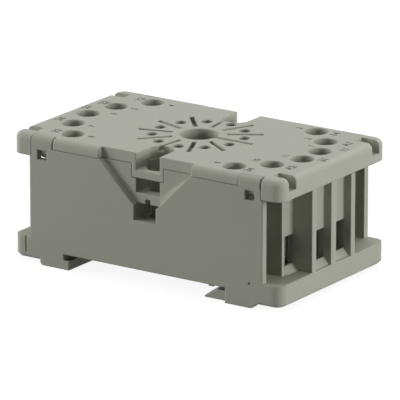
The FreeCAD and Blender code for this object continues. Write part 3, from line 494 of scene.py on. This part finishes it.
def screw_mesh(hardware, size):
    """Turned screw: flat point, rolled thread, plain neck, rounded head with a cross recess."""
    height = size.z
    head_radius = size.x / 2
    around = 40
    head_low = height - hardware.head_height
    # Each row: height, radius, and how deep the thread is cut there.
    rows = [(0.0, hardware.shank_radius - hardware.thread_depth - POINT_STEP, 0.0)]
    thread_low = POINT_LENGTH
    thread_high = head_low - NECK_LENGTH
    steps = round((thread_high - thread_low) / hardware.thread_pitch * 6)
    for k in range(steps + 1):
        z = thread_low + (thread_high - thread_low) * k / steps
        near_end = min(z - thread_low, thread_high - z) / hardware.thread_pitch
        rows.append((z, hardware.shank_radius, min(1.0, near_end) * hardware.thread_depth))
    rows.append((head_low - TURNED_EDGE, hardware.shank_radius - TURNED_EDGE, 0.0))
    rows.append((head_low, hardware.shank_radius + TURNED_EDGE, 0.0))
    rows.append((head_low, head_radius - TURNED_EDGE, 0.0))
    rows.append((head_low + TURNED_EDGE, head_radius, 0.0))
    for k in range(7):
        turn = math.radians(90 * k / 6)
        rows.append((height - hardware.head_round * (1 - math.sin(turn)),
                     head_radius - hardware.head_round * (1 - math.cos(turn)), 0.0))
    points = []
    for z, radius, depth in rows:
        ring = []
        for k in range(around):
            turn = math.tau * k / around
            phase = (z / hardware.thread_pitch - k / around) % 1.0
            reach = radius - depth * abs(2 * phase - 1)
            ring.append((reach * math.cos(turn), reach * math.sin(turn), z))
        points.append(ring)
    half, reach = hardware.recess_width / 2, hardware.recess_reach
    cross = [(reach, -half), (reach, half), (half, half), (half, reach), (-half, reach),
             (-half, half), (-reach, half), (-reach, -half), (-half, -half), (-half, -reach),
             (half, -reach), (half, -half)]
    # The recess narrows towards its floor, as a driver's tip does.
    tool = skin([[(x * scale, y * scale, z) for x, y in cross]
                 for scale, z in ((RECESS_FLOOR, height - hardware.recess_depth),
                                  (RECESS_MOUTH, height + RECESS_ABOVE))])
    mesh = cut(from_bmesh("screw", skin(points)), from_bmesh("recess", tool), RECESS_BREAK)
    smooth(mesh, 40)
    return mesh


def window_sides(middle):
    """Y of the two sides of the wire window in front of a clamp."""
    for opening in frame["record"]["physics"]["openings"]:
        low, high = opening["box_m"]
        if (opening["name"].startswith("wire_entry") and low[1] < middle.y < high[1]
                and low[0] * middle.x > 0 and high[0] * middle.x > 0):
            return low[1], high[1]
    raise RuntimeError("no wire window in front of a clamp")


def nose_mesh(latch, low, high, block_end):
    """Block of the latch's nose: bowed in front, with a long slope up from its lower edge."""
    steps = 24
    bow = []
    for k in range(steps + 1):
        y = low.y + (high.y - low.y) * k / steps
        bow.append((latch.tip + latch.sweep * (y / high.y) ** 2, y))
    rows = []
    for z, back in ((latch.sole, 0.0), (high.z - latch.rise, 0.0), (high.z, latch.run)):
        front = [(x + back, y, z) for x, y in bow]
        rows.append(front + [(block_end, high.y, z), (block_end, low.y, z)])
    return from_bmesh("nose", skin(rows))


def text_mesh(words, height):
    """The outline of some words as a flat mesh, centred, with figures of the given height."""
    curve = bpy.data.curves.new("words", "FONT")
    curve.body = words
    curve.size = height / FIGURE_HEIGHT
    curve.align_x = "CENTER"
    curve.align_y = "CENTER"
    curve.resolution_u = 3
    curve.offset = height * INK_SPREAD
    thing = bpy.data.objects.new("words", curve)
    bpy.context.scene.collection.objects.link(thing)
    bpy.context.view_layer.update()
    graph = bpy.context.evaluated_depsgraph_get()
    mesh = bpy.data.meshes.new_from_object(thing.evaluated_get(graph))
    bpy.data.objects.remove(thing)
    if not mesh.polygons:
        raise RuntimeError("no outline for " + words)
    return mesh


# Operators

class SOCKET_OT_finish_housing(bpy.types.Operator):
    """Open the rooms behind the wire windows and give the moulded base its material"""
    bl_idname = "relay_socket.finish_housing"
    bl_label = "Finish Housing"

    def execute(self, context):
        settings = context.scene.relay_socket
        plastic, hardware, latch = settings.plastic, settings.hardware, settings.latch
        mesh = frame["nodes"]["housing"].data.copy()
        rooms = bmesh.new()
        for count in TERMINALS:
            low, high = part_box("clamp_" + count)
            side = 1 if low.x > 0 else -1
            face = high.x if side > 0 else -low.x
            inner, outer = face - ROOM_START, face + hardware.panel_gap - hardware.window_lip
            x = sorted((side * inner, side * outer))
            y = window_sides((low + high) / 2)
            add_box(rooms, (x[0], y[0] - hardware.room_side, hardware.room_base),
                    (x[1], y[1] + hardware.room_side, hardware.room_top))
        # The nose has its room too, for when the latch is pulled out.
        low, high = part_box("rail_latch")
        reach = latch.cheek - latch.nose_gap + latch.travel + latch.play
        add_box(rooms, (latch.cheek - latch.play, low.y - latch.play, low.z - MARGIN),
                (reach, high.y + latch.play, high.z + latch.play))
        mesh = cut(mesh, from_bmesh("rooms", rooms))
        smooth(mesh, FINE_ANGLE)
        grey = moulded_polyamide("moulded grey polyamide, housing", plastic.housing_colour, plastic)
        piece = mesh_object("open_housing", mesh, grey)
        # Large flat faces keep their own normals beside the small faces of the rounded corners.
        even = piece.modifiers.new("even normals", "WEIGHTED_NORMAL")
        even.keep_sharp = True
        even.weight = 100
        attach(piece, "base")
        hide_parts("housing")
        return {"FINISHED"}


class SOCKET_OT_finish_cover(bpy.types.Operator):
    """Give the clip-on cover its material"""
    bl_idname = "relay_socket.finish_cover"
    bl_label = "Finish Cover"

    def execute(self, context):
        plastic = context.scene.relay_socket.plastic
        dress("top_cover", moulded_polyamide("moulded grey polyamide, cover", plastic.cover_colour,
                                             plastic))
        return {"FINISHED"}


class SOCKET_OT_finish_latch(bpy.types.Operator):
    """Give the rail latch its long nose and its material"""
    bl_idname = "relay_socket.finish_latch"
    bl_label = "Finish Rail Latch"

    def execute(self, context):
        settings = context.scene.relay_socket
        plastic, latch = settings.plastic, settings.latch
        low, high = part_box("rail_latch")
        block_end = latch.cheek - latch.nose_gap
        # The solid's short nose goes, and a block of the real form takes its place.
        front = bmesh.new()
        add_box(front, (low.x - MARGIN, low.y - MARGIN, low.z - MARGIN),
                (block_end - MARGIN, high.y + MARGIN, high.z + MARGIN))
        mesh = cut(frame["nodes"]["rail_latch"].data.copy(), from_bmesh("front", front))
        mesh = cut(mesh, nose_mesh(latch, low, high, block_end), operation="UNION")
        smooth(mesh, FINE_ANGLE)
        grey = moulded_polyamide("moulded grey polyamide, latch", plastic.latch_colour, plastic)
        piece = mesh_object("long_nosed_latch", mesh, grey)
        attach(piece, "latch")
        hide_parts("rail_latch")
        return {"FINISHED"}


class SOCKET_OT_finish_contacts(bpy.types.Operator):
    """Give the contacts their tin plating"""
    bl_idname = "relay_socket.finish_contacts"
    bl_label = "Finish Contacts"

    def execute(self, context):
        metal = context.scene.relay_socket.metal
        tin = plated_metal("tin-plated rolled brass", metal.tin_colour, metal.tarnish_colour,
                           metal.tin_roughness, metal, (0.1, 1.0, 1.0))
        for count in TERMINALS:
            dress("contact_" + count, tin)
        return {"FINISHED"}


class SOCKET_OT_make_clamps(bpy.types.Operator):
    """Build the clamps from bent sheet, each in the place of its plain solid"""
    bl_idname = "relay_socket.make_clamps"
    bl_label = "Make Clamps"

    def execute(self, context):
        settings = context.scene.relay_socket
        metal = settings.metal
        zinc = plated_metal("zinc-plated bent steel", metal.zinc_colour, metal.tarnish_colour,
                            metal.zinc_roughness, metal, (0.1, 1.0, 1.0))
        low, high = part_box("clamp_01")
        mesh = clamp_mesh(settings.hardware, high - low)
        for count in TERMINALS:
            low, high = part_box("clamp_" + count)
            piece = mesh_object("bent_clamp_" + count, mesh.copy(), zinc)
            piece.location = ((low.x + high.x) / 2, (low.y + high.y) / 2, low.z)
            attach(piece, "lift_" + count)
            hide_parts("clamp_" + count)
        return {"FINISHED"}


class SOCKET_OT_make_screws(bpy.types.Operator):
    """Build the screws with thread and cross recess, each in the place of its plain solid"""
    bl_idname = "relay_socket.make_screws"
    bl_label = "Make Screws"

    def execute(self, context):
        settings = context.scene.relay_socket
        metal = settings.metal
        zinc = plated_metal("zinc-plated turned steel", metal.zinc_colour, metal.tarnish_colour,
                            metal.zinc_roughness, metal, (1.0, 1.0, 0.1))
        low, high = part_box("terminal_screw_01")
        mesh = screw_mesh(settings.hardware, high - low)
        for order, count in enumerate(TERMINALS):
            low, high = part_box("terminal_screw_" + count)
            piece = mesh_object("cross_screw_" + count, mesh.copy(), zinc)
            piece.location = ((low.x + high.x) / 2, (low.y + high.y) / 2, low.z)
            # No two screws stop at the same turn.
            piece.rotation_euler.z = math.radians(37 * order)
            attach(piece, "screw_" + count)
            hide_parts("terminal_screw_" + count)
        return {"FINISHED"}


class SOCKET_OT_print_numbers(bpy.types.Operator):
    """Print the pin numbers and terminal numbers on the cover"""
    bl_idname = "relay_socket.print_numbers"
    bl_label = "Print Terminal Numbers"

    def execute(self, context):
        numbers = context.scene.relay_socket.numbers
        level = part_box("top_cover")[1].z + numbers.film
        shape = bmesh.new()
        for inner, x1, y1, outer, x2, y2 in NUMBERS:
            for words, x, y, height in ((inner, x1, y1, numbers.inner_height),
                                        (outer, x2, y2, numbers.outer_height)):
                mesh = text_mesh(words, height)
                place = Matrix.Translation((x * MM, y * MM, level))
                mesh.transform(place @ Matrix.Rotation(math.pi / 2, 4, "Z"))
                shape.from_mesh(mesh)
                bpy.data.meshes.remove(mesh)
        mesh = bpy.data.meshes.new("terminal_numbers")
        shape.to_mesh(mesh)
        shape.free()
        piece = mesh_object("terminal_numbers", mesh, printed_ink("pad-printed grey ink", numbers))
        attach(piece, "base")
        return {"FINISHED"}


class SOCKET_OT_set_stage(bpy.types.Operator):
    """Set up the floor, the lamps, the world and the camera"""
    bl_idname = "relay_socket.set_stage"
    bl_label = "Set Stage"

    def execute(self, context):
        stage = context.scene.relay_socket.stage
        floor = mesh_object("floor", from_bmesh("floor", flat_square(FLOOR_HALF)), matt_card(stage))
        for name, place, size, glossy in SOFTBOXES:
            add_lamp(name + " softbox", place, size, getattr(stage, name + "_power"), glossy)
        light_world(stage)
        place_camera(stage)
        context.scene.view_settings.view_transform = "Standard"
        return {"FINISHED"}


def flat_square(half):
    """One square face on the ground."""
    shape = bmesh.new()
    corners = ((-half, -half), (half, -half), (half, half), (-half, half))
    shape.faces.new([shape.verts.new((x, y, 0)) for x, y in corners])
    return shape


def matt_card(stage):
    """Even, matt white card.

    To the eye, and in gloss or glass, it is plain white with a soft shadow. The light that it throws
    on the socket is that of a mid grey.
    """
    material, tree = new_material("matt white card")
    place = add_node(tree, "ShaderNodeTexCoord").outputs["Object"]
    # Paper fibres are about 0.05 mm thick and are drawn 1 mm apart.
    fibres = add_node(tree, "ShaderNodeTexNoise", {
        "Vector": place, "Scale": 1 / PAPER_FIBRES, "Detail": 2.0})
    bump = add_node(tree, "ShaderNodeBump", {
        "Strength": 0.05, "Distance": 0.01 * MM, "Height": fibres.outputs["Fac"]})
    paper = add_node(tree, "ShaderNodeBsdfDiffuse", {
        "Color": stage.floor_colour, "Normal": bump.outputs["Normal"]})
    glow = add_node(tree, "ShaderNodeEmission", {"Color": (1, 1, 1, 1), "Strength": stage.card_glow})
    seen = add_node(tree, "ShaderNodeAddShader", {0: paper.outputs[0], 1: glow.outputs[0]})
    finish_tree(tree, add_node(tree, "ShaderNodeMixShader", {
        "Fac": seen_or_mirrored(tree), 1: paper.outputs[0], 2: seen.outputs[0]}))
    return material


def seen_or_mirrored(tree):
    """1 where the camera looks straight at a surface or sees it in gloss or through glass, else 0."""
    path = add_node(tree, "ShaderNodeLightPath")
    mirrored = add_node(tree, "ShaderNodeMath", {
        0: path.outputs["Is Glossy Ray"], 1: path.outputs["Is Transmission Ray"]},
        operation="MAXIMUM")
    either = add_node(tree, "ShaderNodeMath", {
        0: path.outputs["Is Camera Ray"], 1: mirrored.outputs["Value"]}, operation="MAXIMUM")
    return either.outputs["Value"]


def add_lamp(name, place, size, watts, glossy):
    """A square softbox that faces the socket, seen in gloss or not."""
    light = bpy.data.lights.new(name, "AREA")
    light.shape = "SQUARE"
    light.size = size
    light.energy = watts
    lamp = bpy.data.objects.new(name, light)
    bpy.context.scene.collection.objects.link(lamp)
    lamp.location = place
    lamp.visible_glossy = glossy
    lamp.rotation_euler = Vector(place).to_track_quat("Z", "Y").to_euler()


def light_world(stage):
    """Even grey light all round; white where the camera, gloss or glass looks past the floor."""
    world = bpy.context.scene.world or bpy.data.worlds.new("World")
    bpy.context.scene.world = world
    world.use_nodes = True
    tree = world.node_tree
    tree.nodes.clear()
    strength = add_node(tree, "ShaderNodeMapRange", {
        "Value": seen_or_mirrored(tree), "To Min": stage.ambient, "To Max": 1.0})
    sky = add_node(tree, "ShaderNodeBackground", {
        "Color": (1, 1, 1, 1), "Strength": strength.outputs["Result"]})
    add_node(tree, "ShaderNodeOutputWorld", {"Surface": sky.outputs["Background"]})


def place_camera(stage):
    """Long lens, low in front of the right corner."""
    aim = Vector(CAMERA_AIM) * MM
    away = Vector((math.sin(stage.azimuth) * math.cos(stage.elevation),
                   -math.cos(stage.azimuth) * math.cos(stage.elevation),
                   math.sin(stage.elevation)))
    data = bpy.data.cameras.new("camera")
    data.lens = stage.lens
    data.sensor_width = SENSOR_WIDTH
    data.clip_start = 0.05
    camera = bpy.data.objects.new("camera", data)
    bpy.context.scene.collection.objects.link(camera)
    camera.location = aim + away * stage.distance
    camera.rotation_euler = away.to_track_quat("Z", "Y").to_euler()
    bpy.context.scene.camera = camera


# In the order in which they run.
OPERATORS = (
    SOCKET_OT_finish_housing, SOCKET_OT_finish_cover, SOCKET_OT_finish_latch,
    SOCKET_OT_finish_contacts, SOCKET_OT_make_clamps, SOCKET_OT_make_screws,
    SOCKET_OT_print_numbers, SOCKET_OT_set_stage,
)


class SOCKET_PT_panel(bpy.types.Panel):
    """Lists the steps that make the relay socket"""
    bl_label = "Relay Socket"
    bl_space_type = "VIEW_3D"
    bl_region_type = "UI"
    bl_category = "Relay Socket"

    def draw(self, context):
        for step in OPERATORS:
            self.layout.operator(step.bl_idname)
        settings = context.scene.relay_socket
        for group in (settings.plastic, settings.metal, settings.hardware, settings.latch,
                      settings.numbers, settings.stage):
            box = self.layout.box()
            for key in group.__annotations__:
                box.prop(group, key)


CLASSES = (
    PlasticSettings, MetalSettings, HardwareSettings, LatchSettings, NumberSettings, StageSettings,
    SocketSettings, *OPERATORS, SOCKET_PT_panel,
)


def register():
    for each in CLASSES:
        bpy.utils.register_class(each)
    bpy.types.Scene.relay_socket = PointerProperty(type=SocketSettings)


def unregister():
    del bpy.types.Scene.relay_socket
    for each in reversed(CLASSES):
        bpy.utils.unregister_class(each)


def main():
    """Make everything in order."""
    register()
    for step in OPERATORS:
        getattr(bpy.ops.relay_socket, step.bl_idname.split(".")[1])()
    bpy.context.view_layer.update()


if __name__ == "__main__":
    main()
